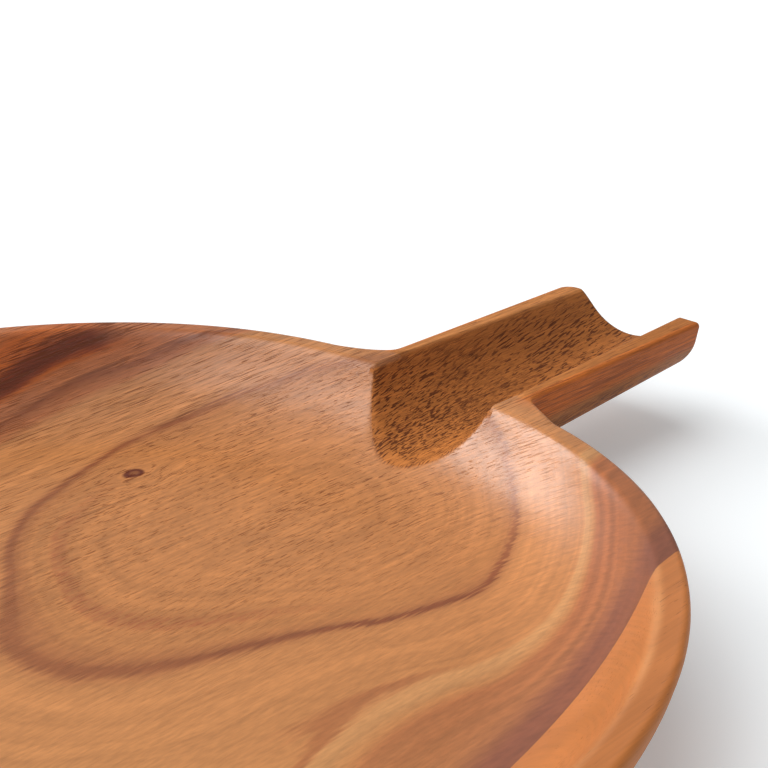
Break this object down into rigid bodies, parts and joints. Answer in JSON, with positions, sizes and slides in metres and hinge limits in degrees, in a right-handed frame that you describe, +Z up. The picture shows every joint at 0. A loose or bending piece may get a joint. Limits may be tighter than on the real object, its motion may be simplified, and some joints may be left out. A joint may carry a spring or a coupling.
{
  "type": "serving tray",
  "caption": "Round shallow wooden serving tray with a flat rim and a straight open trough that cuts through the rim as a handle and pouring spout.",
  "frame": {"origin": "under the bowl's centre, on the flat base that the tray stands on", "axes": "+X from the bowl's centre along the trough to its tip, +Z up out of the bowl"},
  "size_m": [0.383, 0.3, 0.034],
  "materials": {
    "main_wood": "oiled satin, flat-sawn brown-gold figure",
    "side_wood": "oiled satin, plain orange-brown figure"
  },
  "bodies": {
    "root": {"main_board": "main_wood", "side_board": "side_wood"}
  },
  "joints": []
}
